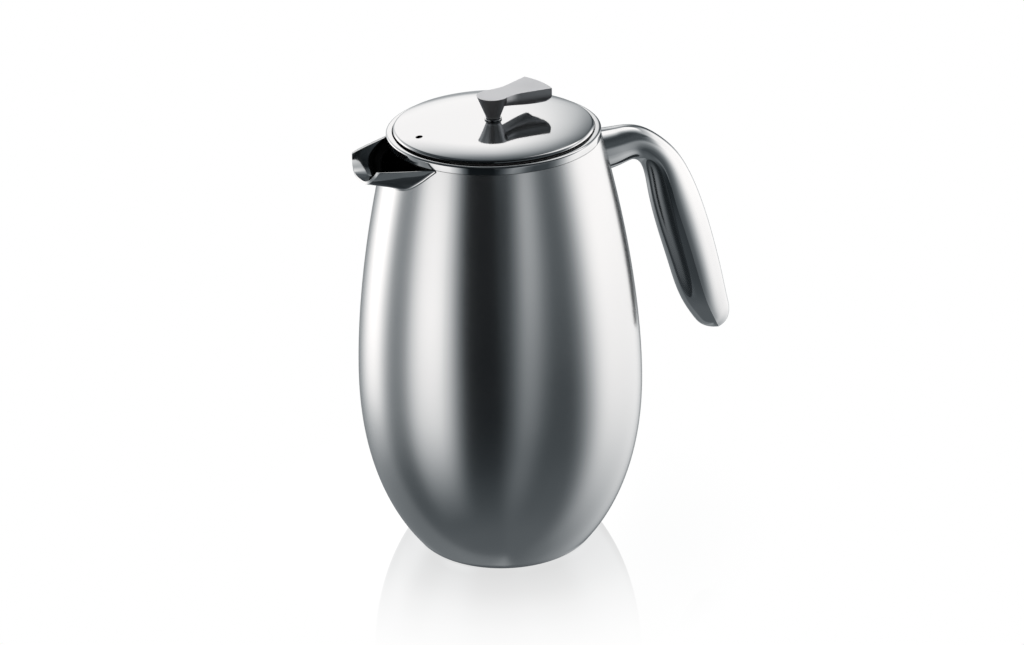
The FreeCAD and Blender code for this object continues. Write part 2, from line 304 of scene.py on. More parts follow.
# --- Materials ------------------------------------------------------------------
def steel(name, colour, roughness, spread, grain, grain_scale, bump, anisotropy=0.0, smudge=0.0):
    """Stainless steel with a turned or drawn grain about the vessel's axis.

    grain stretches the noise: (around, up) sizes. spread is how much the roughness varies.
    """
    mat = bpy.data.materials.new(name)
    mat.use_nodes = True
    nodes, links = mat.node_tree.nodes, mat.node_tree.links
    shader = nodes["Principled BSDF"]
    shader.inputs["Metallic"].default_value = 1.0
    shader.inputs["Anisotropic"].default_value = anisotropy
    place = nodes.new("ShaderNodeTexCoord")
    split = nodes.new("ShaderNodeSeparateXYZ")
    links.new(place.outputs["Object"], split.inputs["Vector"])
    turn = nodes.new("ShaderNodeMath")
    turn.operation = "ARCTAN2"
    links.new(split.outputs["Y"], turn.inputs[0])
    links.new(split.outputs["X"], turn.inputs[1])
    flat = nodes.new("ShaderNodeCombineXYZ")
    radius = nodes.new("ShaderNodeVectorMath")
    radius.operation = "LENGTH"
    level = nodes.new("ShaderNodeCombineXYZ")
    links.new(split.outputs["X"], level.inputs["X"])
    links.new(split.outputs["Y"], level.inputs["Y"])
    links.new(level.outputs["Vector"], radius.inputs[0])
    links.new(turn.outputs[0], flat.inputs["X"])
    links.new(split.outputs["Z"], flat.inputs["Y"])
    links.new(radius.outputs["Value"], flat.inputs["Z"])
    stretch = nodes.new("ShaderNodeMapping")
    stretch.inputs["Scale"].default_value = (grain[0], grain[1], grain[1])
    links.new(flat.outputs["Vector"], stretch.inputs["Vector"])
    lines = nodes.new("ShaderNodeTexNoise")
    lines.inputs["Scale"].default_value = grain_scale
    lines.inputs["Detail"].default_value = 4.0
    lines.inputs["Roughness"].default_value = 0.65
    links.new(stretch.outputs["Vector"], lines.inputs["Vector"])
    patches = nodes.new("ShaderNodeTexNoise")
    patches.inputs["Scale"].default_value = 38.0
    patches.inputs["Detail"].default_value = 3.0
    links.new(place.outputs["Object"], patches.inputs["Vector"])
    rough = nodes.new("ShaderNodeMapRange")
    rough.inputs["From Min"].default_value = 0.3
    rough.inputs["From Max"].default_value = 0.7
    rough.inputs["To Min"].default_value = roughness - spread
    rough.inputs["To Max"].default_value = roughness + spread
    links.new(lines.outputs["Fac"], rough.inputs["Value"])
    wear = nodes.new("ShaderNodeMapRange")
    wear.inputs["From Min"].default_value = 0.45
    wear.inputs["From Max"].default_value = 0.75
    wear.inputs["To Min"].default_value = 0.0
    wear.inputs["To Max"].default_value = smudge
    links.new(patches.outputs["Fac"], wear.inputs["Value"])
    total = nodes.new("ShaderNodeMath")
    total.operation = "ADD"
    links.new(rough.outputs["Result"], total.inputs[0])
    links.new(wear.outputs["Result"], total.inputs[1])
    links.new(total.outputs[0], shader.inputs["Roughness"])
    tint = nodes.new("ShaderNodeMix")
    tint.data_type = "RGBA"
    dark = tuple(c * 0.94 for c in colour)
    tint.inputs["A"].default_value = (*dark, 1)
    tint.inputs["B"].default_value = (*colour, 1)
    links.new(lines.outputs["Fac"], tint.inputs["Factor"])
    links.new(tint.outputs["Result"], shader.inputs["Base Color"])
    if bump:
        height = nodes.new("ShaderNodeBump")
        height.inputs["Strength"].default_value = bump
        height.inputs["Distance"].default_value = 0.00002
        links.new(lines.outputs["Fac"], height.inputs["Height"])
        links.new(height.outputs["Normal"], shader.inputs["Normal"])
    return mat


def woven(name):
    """Fine woven wire cloth: two crossed sets of wires, with painted shade for the dark gaps between them."""
    mat = steel(name, (0.50, 0.51, 0.52), 0.35, 0.06, (1, 1), 900.0, 0.0)
    nodes, links = mat.node_tree.nodes, mat.node_tree.links
    shader = nodes["Principled BSDF"]
    place = nodes["Texture Coordinate"]
    waves = []
    for direction in ("X", "Y"):
        wave = nodes.new("ShaderNodeTexWave")
        wave.bands_direction = direction
        wave.inputs["Scale"].default_value = 420.0
        links.new(place.outputs["Object"], wave.inputs["Vector"])
        waves.append(wave)
    both = nodes.new("ShaderNodeMath")
    both.operation = "MULTIPLY"
    links.new(waves[0].outputs["Fac"], both.inputs[0])
    links.new(waves[1].outputs["Fac"], both.inputs[1])
    # The gaps between the wires get a near-black colour: painted shade, not a colour of the wire.
    painted_gap_shade = nodes.new("ShaderNodeMix")
    painted_gap_shade.data_type = "RGBA"
    painted_gap_shade.inputs["A"].default_value = (0.55, 0.56, 0.57, 1)
    painted_gap_shade.inputs["B"].default_value = (0.03, 0.03, 0.03, 1)
    links.new(both.outputs[0], painted_gap_shade.inputs["Factor"])
    links.new(painted_gap_shade.outputs["Result"], shader.inputs["Base Color"])
    height = nodes.new("ShaderNodeBump")
    height.inputs["Strength"].default_value = 0.6
    height.inputs["Distance"].default_value = 0.0001
    height.invert = True
    links.new(both.outputs[0], height.inputs["Height"])
    links.new(height.outputs["Normal"], shader.inputs["Normal"])
    return mat


def plastic(name):
    """Black moulded plastic with a fine spark-eroded texture."""
    mat = bpy.data.materials.new(name)
    mat.use_nodes = True
    nodes, links = mat.node_tree.nodes, mat.node_tree.links
    shader = nodes["Principled BSDF"]
    shader.inputs["Specular IOR Level"].default_value = 0.3
    place = nodes.new("ShaderNodeTexCoord")
    grain = nodes.new("ShaderNodeTexNoise")
    grain.inputs["Scale"].default_value = 2500.0
    grain.inputs["Detail"].default_value = 3.0
    links.new(place.outputs["Object"], grain.inputs["Vector"])
    tint = nodes.new("ShaderNodeMix")
    tint.data_type = "RGBA"
    tint.inputs["A"].default_value = (0.003, 0.003, 0.003, 1)
    tint.inputs["B"].default_value = (0.008, 0.008, 0.009, 1)
    links.new(grain.outputs["Fac"], tint.inputs["Factor"])
    links.new(tint.outputs["Result"], shader.inputs["Base Color"])
    rough = nodes.new("ShaderNodeMapRange")
    rough.inputs["To Min"].default_value = 0.4
    rough.inputs["To Max"].default_value = 0.6
    links.new(grain.outputs["Fac"], rough.inputs["Value"])
    links.new(rough.outputs["Result"], shader.inputs["Roughness"])
    height = nodes.new("ShaderNodeBump")
    height.inputs["Strength"].default_value = 0.3
    height.inputs["Distance"].default_value = 0.00005
    links.new(grain.outputs["Fac"], height.inputs["Height"])
    links.new(height.outputs["Normal"], shader.inputs["Normal"])
    return mat


SATIN = steel("satin_steel", (0.66, 0.665, 0.67), 0.19, 0.02, (0.35, 9.0), 260.0, 0.02, smudge=0.015)
INNER = steel("inner_steel", (0.64, 0.65, 0.66), 0.30, 0.06, (0.35, 9.0), 180.0, 0.3, smudge=0.03)
POLISHED = steel("polished_steel", (0.67, 0.675, 0.68), 0.06, 0.01, (1.0, 3.0), 500.0, 0.01, smudge=0.02)
BRUSHED = steel("brushed_knob", (0.6, 0.605, 0.62), 0.36, 0.05, (1.0, 6.0), 400.0, 0.15, smudge=0.05)
SHEET = steel("sheet_steel", (0.66, 0.67, 0.68), 0.20, 0.05, (1.0, 5.0), 300.0, 0.1, smudge=0.04)
WIRE = steel("wire_steel", (0.60, 0.61, 0.62), 0.22, 0.05, (2.0, 2.0), 600.0, 0.05)
# Woven wire cloth whose dark gaps are painted shade.
MESH = woven("mesh_steel")
# Black plastic for the lid's skirt; its black also stands in for the shade in the gap under the lid's edge, so
# it is partly painted shade.
BLACK_GAP_SHADE = plastic("black_plastic")


# --- Vessel -----------------------------------------------------------------------
def outer_radius(z):
    """Outer radius of the egg-shaped body at height z."""
    if z <= BELLY_Z:
        below = (BELLY_Z - z) / BELLY_Z
        return BODY_R * math.sqrt(1 - (1 - (FOOT_R / BODY_R) ** 2) * below ** BELLY_POWER)
    above = (z - BELLY_Z) / (BODY_H - BELLY_Z)
    return BODY_R - (BODY_R - NECK_R) * min(above, 1.1) ** SHOULDER_POWER


def trough_at(x, inset=0.0):
    """Half width of the spout at -x, and a function giving its height at a share of that."""
    share = (x - SPOUT_ROOT_X) / (SPOUT_TIP_X - SPOUT_ROOT_X)
    held = max(share, 0.0)
    half = SPOUT_ROOT[0] + (SPOUT_TIP[0] - SPOUT_ROOT[0]) * share - inset

    def height(side):
        side = min(abs(side), 1.0)
        root = (SPOUT_ROOT[1] - inset) * (1 - side ** SPOUT_ROOT[2])
        tip = (SPOUT_TIP[1] - inset) * (1 - side ** SPOUT_TIP[2])
        return SPOUT_TOP - (root * (1 - held) + tip * held)

    return half, height


def notch_height(radius_at, angle, inset=0.0):
    """Height of the spout's cut in a wall at an angle from the spout, or None beside it."""
    low, high = 150.0, SPOUT_TOP

    def outside(z):
        r = radius_at(z)
        half, height = trough_at(r * math.cos(angle), inset)
        side = r * math.sin(angle) / half
        return abs(side) < 1 and z > height(side)

    if abs(angle) > math.radians(60) or not outside(high - 0.01):
        return None
    for _ in range(30):
        middle = (low + high) / 2
        if outside(middle):
            high = middle
        else:
            low = middle
    return high


def wall_angles():
    """Angles from the spout, closer together where the wall's top edge dips."""
    dense = [math.radians(a) for a in np.linspace(-40, 40, 161)]
    rest = [math.radians(a) for a in np.linspace(40, 320, 161)[1:-1]]
    return dense + rest


def notched_wall(outside, inside, top, rows=90):
    """A thin turned wall whose top edge dips at the spout.

    outside and inside give (r, z) for a share from 0 (low end) to 1 (a given top height).
    """
    angles = wall_angles()
    verts = []
    tops = []
    for angle in angles:
        wrapped = (angle + math.pi) % (2 * math.pi) - math.pi
        cut = notch_height(lambda z: outside(z), wrapped, -0.05)
        tops.append(min(top, cut) if cut is not None else top)
    for surface, backwards in ((outside, False), (inside, True)):
        for i in range(rows + 1):
            share = 1 - i / rows if backwards else i / rows
            share = 1 - (1 - share) ** 1.3
            for angle, limit in zip(angles, tops):
                low = surface(None)
                z = low + (limit - low) * share
                r = surface(z)
                turn = math.pi + angle
                verts.append((r * math.cos(turn), r * math.sin(turn), z))
    faces = grid_faces(2 * (rows + 1), len(angles), close_columns=True)
    return verts, faces, angles


def outer_shell():
    lip_r = FOOT_R - FOOT_FLANGE

    def outside(z):
        return 0.6 if z is None else outer_radius(z)

    def inside(z):
        return WALL * 1.6 if z is None else outer_radius(z) - WALL

    verts, faces, angles = notched_wall(outside, inside, BODY_H)
    columns = len(angles)
    rings = [(outer_radius(0.6) - 0.02, 0.45), (outer_radius(0.6) - 0.35, 0.12), (FOOT_R - 0.5, 0.0)]
    rings += [(lip_r + 0.4, 0.0), (lip_r + 0.1, 0.1), (lip_r, 0.4), (lip_r, 3.0), (lip_r + WALL, 3.0)]
    rings += [(lip_r + WALL, WALL), (FOOT_R - 1.2, WALL)]
    base = len(verts)
    for r, z in rings:
        for angle in angles:
            verts.append((r * math.cos(math.pi + angle), r * math.sin(math.pi + angle), z))
    faces += grid_faces(len(rings), columns, close_columns=True, offset=base)
    last_ring = base + (len(rings) - 1) * columns
    inner_low = base - columns
    for j in range(columns):
        k = (j + 1) % columns
        faces.append((j, base + j, base + k, k))
        faces.append((last_ring + j, inner_low + j, inner_low + k, last_ring + k))
    piece("body_outer_shell", verts, faces, "vessel", SATIN, ["outer_shell"])


def inner_vessel():
    floor = FLOOR_Z - WALL
    corner = 6.0
    outer = BORE_R + WALL

    def outside(z):
        return floor + corner if z is None else outer

    def inside(z):
        return floor + corner if z is None else BORE_R

    verts, faces, angles = notched_wall(outside, inside, COLLAR_TOP, rows=40)
    columns = len(angles)
    base = len(verts)
    arcs = []
    for radius, centre_r in ((corner, outer - corner), (corner - WALL, outer - corner)):
        for k in range(1, 9):
            a = math.pi / 2 * k / 8
            arcs.append((centre_r + radius * math.cos(a), floor + corner - radius * math.sin(a)))
        for r in (30.0, 20.0, 8.0, 0.0):
            arcs.append((r, floor + corner - radius))
    for r, z in arcs:
        for angle in angles:
            verts.append((r * math.cos(math.pi + angle), r * math.sin(math.pi + angle), z))
    half = len(arcs) // 2
    faces += grid_faces(half, columns, close_columns=True, offset=base)
    faces += grid_faces(half, columns, close_columns=True, offset=base + half * columns)
    inner_low = base - columns
    for j in range(columns):
        k = (j + 1) % columns
        faces.append((j, base + j, base + k, k))
        faces.append((base + half * columns + j, inner_low + j, inner_low + k, base + half * columns + k))
    piece("body_inner_vessel", verts, faces, "vessel", INNER, ["inner_vessel"])


def base_plate():
    r = FOOT_R - FOOT_FLANGE - 0.05
    outline = rounded([(0.01, 0), (26.4, 0), (27.0, 0.4), (29.4, 0.4), (30.0, 0), (r, 0), (r, WALL),
                       (0.01, WALL)], [0, 0.3, 0.3, 0.3, 0.3, 0.2, 0.1, 0], 4)
    verts, faces = lathe(outline, 128)
    piece("base_plate_disc", verts, faces, "vessel", SATIN, ["base_plate"])


def neck_collar():
    """Ring around the neck's top. It passes just over the spout."""
    inside = BORE_R + WALL + 0.05
    depth = COLLAR_TOP - BODY_H
    over_spout = (COLLAR_TOP - SPOUT_TOP - 0.05) / depth
    outline = [(inside, depth), (NECK_R - 0.2, depth), (NECK_R, depth - 0.2)]
    for a in np.linspace(0, math.pi / 2, 14):
        outline.append((NECK_R - SHOULDER[0] * (1 - math.cos(a)), SHOULDER[1] * (1 - math.sin(a))))
    outline += [(inside + 0.2, 0), (inside, 0.2)]
    angles = wall_angles()
    edge = math.asin(trough_at(NECK_R * 0.86, -0.05)[0] / NECK_R)
    verts = []
    for angle in angles:
        wrapped = (angle + math.pi) % (2 * math.pi) - math.pi
        share = over_spout if abs(wrapped) < edge else 1.0
        turn = math.pi + angle
        verts += [(r * math.cos(turn), r * math.sin(turn), COLLAR_TOP - down * share) for r, down in outline]
    faces = grid_faces(len(angles), len(outline), close_columns=True, close_rows=True)
    piece("neck_collar_band", verts, faces, "vessel", POLISHED, ["neck_collar"])


def bore_start(inset, side):
    """Where the spout's sheet starts: the bore's wall, at a share of the sheet's half width."""
    x = SPOUT_ROOT_X
    for _ in range(20):
        x = math.sqrt(BORE_R ** 2 - (trough_at(x, inset)[0] * side) ** 2)
    return x


def spout():
    """Folded sheet: outer and inner faces, rounded edges, and the weld along the body."""
    columns = 49
    sides = [math.sin(math.pi * (i / (columns - 1) - 0.5)) for i in range(columns)]
    bead = SPOUT_T / 2
    turns = list(np.linspace(0.3, math.pi - 0.3, 5))
    # each point round the sheet: inset, share of the half width, and angle if on a rounded edge
    around = [(0.0, side, None) for side in sides] + [(bead, 1.0, turn) for turn in turns]
    around += [(SPOUT_T, side, None) for side in reversed(sides)] + [(bead, -1.0, turn) for turn in turns]
    starts = [bore_start(inset, side) for inset, side, _ in around]
    rows = []
    for share in np.linspace(0, 1, 60):
        row = []
        for (inset, side, turn), start in zip(around, starts):
            x = start + (SPOUT_TIP_X - start) * share
            half, height = trough_at(x, inset)
            y, z = half * side, height(side)
            if turn is not None:
                y += bead * math.cos(turn)
                z = SPOUT_TOP - 0.2 + bead * 0.35 * math.sin(turn)
            near_tip = max(0.0, (x - 50.0) / (SPOUT_TIP_X - 50.0)) ** 2
            back = (SPOUT_NOSE + SPOUT_CORNER) * abs(y / trough_at(x)[0]) ** 3
            row.append((-x - (SPOUT_NOSE - back) * near_tip, y, z))
        rows.append(row)
    verts = [p for row in rows for p in row]
    count = len(around)
    faces = grid_faces(len(rows), count, close_columns=True)
    for start, turned in ((0, True), ((len(rows) - 1) * count, False)):
        for i in range(columns - 1):
            a, b = start + i, start + i + 1
            c = start + columns + 5 + (columns - 1 - i) - 1
            d = c + 1
            faces.append((a, b, c, d) if turned else (d, c, b, a))
        right = [start + columns - 1 + k for k in range(7)]
        left = [start + 2 * columns + 4 + k for k in range(6)] + [start]
        for ring in (right, left):
            faces.append(tuple(ring) if turned else tuple(reversed(ring)))
    seam = []
    for degrees in np.linspace(-31.5, 31.5, 90):
        angle = math.radians(degrees)
        z = notch_height(outer_radius, angle)
        if z is None:
            continue
        r = outer_radius(z) + 0.1
        seam.append((-r * math.cos(angle), r * math.sin(angle), z - 0.1))
    weld = tube_along(seam, 0.55, 10)
    verts, faces = joined((verts, faces), weld)
    obj = piece("spout_sheet", verts, faces, "vessel", POLISHED, ["spout"])
    bevel(obj, 0.25, 2, 50)


# --- Handle -------------------------------------------------------------------------
def natural_spline(knots, values, at):
    """Natural cubic spline through values at knots, read at other places."""
    n = len(knots)
    gaps = np.diff(knots)
    matrix = np.zeros((n, n))
    right = np.zeros(n)
    matrix[0, 0] = matrix[-1, -1] = 1
    for i in range(1, n - 1):
        matrix[i, i - 1:i + 2] = gaps[i - 1], 2 * (gaps[i - 1] + gaps[i]), gaps[i]
        right[i] = 6 * ((values[i + 1] - values[i]) / gaps[i] - (values[i] - values[i - 1]) / gaps[i - 1])
    bend = np.linalg.solve(matrix, right)
    spot = np.clip(np.searchsorted(knots, at) - 1, 0, n - 2)
    a = (knots[spot + 1] - at) / gaps[spot]
    b = 1 - a
    return (a * values[spot] + b * values[spot + 1]
            + ((a ** 3 - a) * bend[spot] + (b ** 3 - b) * bend[spot + 1]) * gaps[spot] ** 2 / 6)


def handle_path(count):
    """Centres, outward directions and sizes along the handle, with a rounded tip."""
    table = np.array(HANDLE_SECTIONS)
    centres = np.column_stack((outer_radius(HANDLE_ROOT_Z) + table[:, 0], HANDLE_ROOT_Z - table[:, 1]))
    knots = np.concatenate(([0], np.cumsum(np.linalg.norm(np.diff(centres, axis=0), axis=1))))
    last = knots[-2]
    tip = knots[-1] + 0.05
    at = np.concatenate((np.linspace(0, last, count), last + (tip - last) * np.sin(
        np.linspace(0, math.pi / 2, 24))[1:]))
    path = []
    for s in at:
        held = min(s, knots[-1])
        x = float(natural_spline(knots, centres[:, 0], np.array([held]))[0])
        z = float(natural_spline(knots, centres[:, 1], np.array([held]))[0]) - (s - held)
        dx = float(natural_spline(knots, centres[:, 0], np.array([min(held + 0.2, knots[-1])]))[0]
                   - natural_spline(knots, centres[:, 0], np.array([held - 0.2]))[0])
        dz = float(natural_spline(knots, centres[:, 1], np.array([min(held + 0.2, knots[-1])]))[0]
                   - natural_spline(knots, centres[:, 1], np.array([held - 0.2]))[0])
        tangent = Vector((dx, 0, dz)).normalized()
        sizes = [float(natural_spline(knots, table[:, k], np.array([held]))[0]) for k in (2, 3, 4)]
        path.append((Vector((x, 0, z)), Vector((-tangent.z, 0, tangent.x)), sizes, s))
    finish = []
    for centre, outward, (p, q, crease), s in path:
        if s > last:
            near = math.sqrt(max(1 - ((s - last) / (tip - last)) ** 3, 0))
            p, q = p * near, q * near
        finish.append((centre, outward, p * HANDLE_TRIM, q, crease))
    return finish


def handle_half(name, node, side):
    """Rounded outer half (side 1) or flatter inner half (side -1) of the handle."""
    across = 40
    verts = []
    path = handle_path(150)
    for centre, outward, p, q, crease in path:
        line = -crease * p
        for i in range(across + 1):
            angle = math.pi * i / across
            wide = q * math.cos(angle)
            if side > 0:
                rise = line + (p - line) * math.sin(angle)
            else:
                wide *= 1 - SEAM_STEP / max(q, 1.0)
                keel = min(2.5 * crease, 1.0)
                round_part = (1 - keel) * math.sin(angle) + keel * math.sin(angle) ** 2
                rise = line - (p + line) * round_part
            point = centre + outward * rise
            verts.append((point.x, wide, point.z))
    faces = grid_faces(len(path), across + 1)
    piece(name, verts, faces, "vessel", POLISHED, [node], sharp=60)


# --- Lid ------------------------------------------------------------------------------
def lid_height(r):
    return LID_TOP - LID_SAG * (r / LID_SAG_R) ** LID_SAG_POWER


def lid_slope(r):
    """Angle that the cover's top falls at, in radians."""
    return math.atan(LID_SAG * LID_SAG_POWER / LID_SAG_R * (r / LID_SAG_R) ** (LID_SAG_POWER - 1))


def lid_cover():
    """Domed cover whose edge turns down in a round that touches the dome."""
    hole = 3.05
    start = LID_R - LID_RIM_R
    for _ in range(8):
        start = LID_R - LID_RIM_R * (1 - math.sin(lid_slope(start)))
    slope = lid_slope(start)
    centre_r = start - LID_RIM_R * math.sin(slope)
    centre_z = lid_height(start) - LID_RIM_R * math.cos(slope)
    low = math.radians(20)
    outline = [(hole, lid_height(hole) - 0.15)]
    outline += [(r, lid_height(r)) for r in np.linspace(hole + 0.15, start, 70)]
    for a in np.linspace(math.pi / 2 - slope, low, 20)[1:]:
        outline.append((centre_r + LID_RIM_R * math.cos(a), centre_z + LID_RIM_R * math.sin(a)))
    edge_z = centre_z + LID_RIM_R * math.sin(low)
    outline += [(LID_R - 0.25, edge_z - 0.06), (LID_R - 0.7, edge_z - 0.04)]
    outline += [(r, lid_height(r) - LID_T) for r in (LID_R - 1.3, 38.0, 30.0, 20.0, 10.0, hole)]
    verts, faces = lathe(outline, 256)
    obj = piece("lid_cover_dome", verts, faces, "lid", POLISHED, ["lid_cover"])
    hole_post = loose("vent_cutter", *post(-VENT_X, 0, LID_TOP - 4, LID_TOP + 2, VENT_R))
    cut_with(obj, [hole_post])


def lid_skirt():
    outer = skirt_high[0]
    inner = outer - 0.8
    top = lid_height(outer) - LID_T - 0.05
    outline = rounded([(inner, skirt_low[2]), (outer, skirt_low[2]), (outer, top), (inner, top + 0.1)],
                      [0.35, 0.35, 0, 0], 4)
    verts, faces = lathe(outline, 192)
    # The skirt is black plastic, and its black also serves as painted shade in the gap between the lid's edge
    # and the collar.
    piece("lid_skirt_ring_gap_shade", verts, faces, "lid", BLACK_GAP_SHADE, ["lid_skirt"])


def rod_guide():
    bore = ROD_R + 0.05
    outer = 3.0
    flange = guide_high[0] - 0.2
    top = guide_high[2]
    outline = rounded([(bore, guide_low[2]), (outer, guide_low[2]), (outer, top - 0.6), (flange, top - 0.6),
                       (flange, top), (bore, top)], [0.1, 0.2, 0, 0.15, 0.35, 0.1], 5)
    verts, faces = lathe(outline, 96)
    piece("rod_guide_bush", verts, faces, "guide", POLISHED, ["rod_guide"])
    low, high = cad("guide_retainer")
    outline = rounded([(outer + 0.05, low[2]), (high[0], low[2]), (high[0], high[2]), (outer + 0.05, high[2])],
                      [0.1, 0.3, 0.1, 0.1], 4)
    verts, faces = lathe(outline, 96)
    piece("guide_retainer_ring", verts, faces, "guide", SHEET, ["guide_retainer"])


# --- Plunger --------------------------------------------------------------------------
def smooth_line(points, steps):
    """Points on a Catmull-Rom curve through 2-D points."""
    ends = [points[0]] + list(points) + [points[-1]]
    out = []
    for i in range(1, len(ends) - 2):
        a, b, c, d = (np.array(p, float) for p in ends[i - 1:i + 3])
        for k in range(steps):
            t = k / steps
            out.append(tuple(0.5 * (2 * b + (c - a) * t + (2 * a - 5 * b + 4 * c - d) * t ** 2
                                    + (3 * b - a - 3 * c + d) * t ** 3)))
    out.append(tuple(points[-1]))
    return out


def thumb_outline():
    """The thumb plate from above: waisted sides and a bowed end."""
    head = (KNOB_HEAD_R * 0.42, KNOB_HEAD_R * 0.905)
    near = smooth_line([(head[0], -head[1]), (PLATE_WAIST_X, -PLATE_WAIST_HALF),
                        ((PLATE_WAIST_X + PLATE_CORNER_X) / 2, -(PLATE_WAIST_HALF + PLATE_HALF) / 2 + 0.15),
                        (PLATE_CORNER_X, -PLATE_HALF)], 8)
    bow = PLATE_REACH - PLATE_CORNER_X
    radius = (PLATE_HALF ** 2 + bow ** 2) / (2 * bow)
    half_turn = math.asin(PLATE_HALF / radius)
    end = [(PLATE_REACH - radius + radius * math.cos(a), radius * math.sin(a))
           for a in np.linspace(-half_turn, half_turn, 17)[1:-1]]
    far = [(x, -y) for x, y in reversed(near)]
    return near + end + far


def knob():
    top = knob_high[2]
    low = knob_low[2]
    cone = [(0.01, low), (KNOB_NECK_R - 0.15, low), (KNOB_NECK_R, low + 0.15), (KNOB_NECK_R, low + 0.5)]
    for k in range(1, 13):
        share = k / 12
        flare = KNOB_NECK_R + (KNOB_HEAD_R - KNOB_NECK_R) * share
        cone.append((flare, low + 0.5 + (top - low - 0.5) * share))
    cone.append((0.01, top))
    cone_mesh = loose("cone", *lathe(cone, 128))
    outline = thumb_outline()
    count = len(outline)
    rings = []
    layers = [0.0, 0.3, 0.5, 0.6, 0.7, 0.78, 0.85, 0.91, 0.955, 0.985, 1.0]
    for layer in layers:
        under = max(0.0, (layer - 0.45) / 0.55)
        drawn = PLATE_UNDER * (1 - math.sqrt(1 - under ** 2))
        for x, y in outline:
            past = min(max((x - PLATE_REACH + PLATE_END_R) / PLATE_END_R, 0.0), 0.8)
            grown = math.sin(math.pi / 2 * min(x / PLATE_THICK_X, 1.0))
            depth = PLATE_ROOT_T + (PLATE_T - PLATE_ROOT_T) * grown
            depth -= PLATE_END_R * (1 - math.sqrt(1 - past ** 2))
            rings.append((x - drawn * PLATE_END_R * past, y * (1 - drawn), top - depth * layer))
    turned = []
    for x, y, z in rings:
        turned.append((x * math.cos(KNOB_TURN) - y * math.sin(KNOB_TURN),
                       x * math.sin(KNOB_TURN) + y * math.cos(KNOB_TURN), z))
    faces = grid_faces(len(layers), count, close_columns=True)
    last = (len(layers) - 1) * count
    faces += [tuple(range(count)), tuple(range(last, last + count))[::-1]]
    obj = piece("knob_with_thumb_plate", turned, faces, "plunger", BRUSHED, ["knob"])
    mod = obj.modifiers.new("head", "BOOLEAN")
    mod.operation = "UNION"
    mod.object = cone_mesh
    mod.solver = "EXACT"
    cut_with(obj, [])
    bpy.data.objects.remove(cone_mesh)
    bevel(obj, 0.3, 3, 42)


def plunger_rod():
    low, high = rod_low[2], rod_high[2]
    outline = rounded([(0.01, low), (ROD_R, low), (ROD_R, high), (0.01, high)], [0, 0.5, 0.3, 0], 5)
    parts = [lathe(outline, 64)]
    thread = []
    for k in range(7 * 32 + 1):
        angle = 2 * math.pi * k / 32
        z = low + 0.7 + 0.7 * k / 32
        thread.append((ROD_R * math.cos(angle), ROD_R * math.sin(angle), z))
    parts.append(tube_along(thread, 0.18, 6))
    verts, faces = joined(*parts)
    piece("plunger_rod_bar", verts, faces, "plunger", POLISHED, ["plunger_rod"])
    low, high = cad("rod_collar")
    r = high[0]
    outline = rounded([(ROD_R + 0.05, low[2]), (r, low[2]), (r, low[2] + 1.4), (r - 1.6, low[2] + 2.2),
                       (r - 2.0, high[2]), (ROD_R + 0.05, high[2])], [0, 0.2, 0.3, 0.6, 0.3, 0.1], 5)
    verts, faces = lathe(outline, 96)
    piece("rod_collar_boss", verts, faces, "plunger", SHEET, ["rod_collar"])


def spiral_plate():
    low, high = spiral_low, spiral_high
    r = high[0]
    bottom, top = low[2], high[2]
    outline = rounded([(ROD_R + 0.05, bottom), (r, bottom), (r, top), (ROD_R + 0.05, top)],
                      [0.05, 0.25, 0.25, 0.1], 3)
    verts, faces = lathe(outline, 144)
    obj = piece("spiral_plate_disc", verts, faces, "plunger", SHEET, ["spiral_plate"])
    holes = []
    for ring_r, count in ((12.0, 8), (20.0, 12), (28.0, 18)):
        for i in range(count):
            angle = 2 * math.pi * i / count
            holes.append(post(ring_r * math.cos(angle), ring_r * math.sin(angle), bottom - 1, top + 1, 2.4, 28))
    cut_with(obj, [loose("holes", *joined(*holes))])


def filter_coil():
    """The close-wound spring that edges the filter."""
    radius = (coil_high[0] - coil_low[0]) / 2
    wind = (coil_high[2] - coil_low[2]) / 2 - COIL_WIRE
    centre_r = radius - COIL_WIRE - wind
    centre_z = (coil_high[2] + coil_low[2]) / 2
    steps = COIL_TURNS * 14
    path = []
    for k in range(steps):
        around = 2 * math.pi * k / steps
        turn = around * COIL_TURNS
        r = centre_r + wind * math.cos(turn)
        path.append((r * math.cos(around), r * math.sin(around), centre_z + wind * math.sin(turn)))
    verts, faces = tube_along(path, COIL_WIRE, 7, closed=True)
    piece("filter_coil_spring", verts, faces, "plunger", WIRE, ["filter_coil"])


def mesh_screen():
    r = mesh_high[0]
    outline = rounded([(ROD_R + 0.05, mesh_low[2]), (r, mesh_low[2]), (r, mesh_high[2]),
                       (ROD_R + 0.05, mesh_high[2])], [0, 0.1, 0.1, 0], 2)
    verts, faces = lathe(outline, 192)
    piece("mesh_screen_disc", verts, faces, "plunger", MESH, ["mesh_screen"])


def carried_over():
    """CAD nodes whose shape is right keep it and get a finished material."""
    for node, material in (("cross_plate", SHEET), ("hub_nut", SHEET)):
        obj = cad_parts[node]
        obj.data.materials.clear()
        obj.data.materials.append(material)


# --- Studio -----------------------------------------------------------------------------
CAMERA_AZIMUTH = math.radians(-27.5)
CAMERA_PITCH = math.radians(25.579)
CAMERA_ROLL = math.radians(-1.5)
CAMERA_PLACE = Vector((-427.9, -834.1, 548.6)) * MM
CAMERA_LENS = 84.18


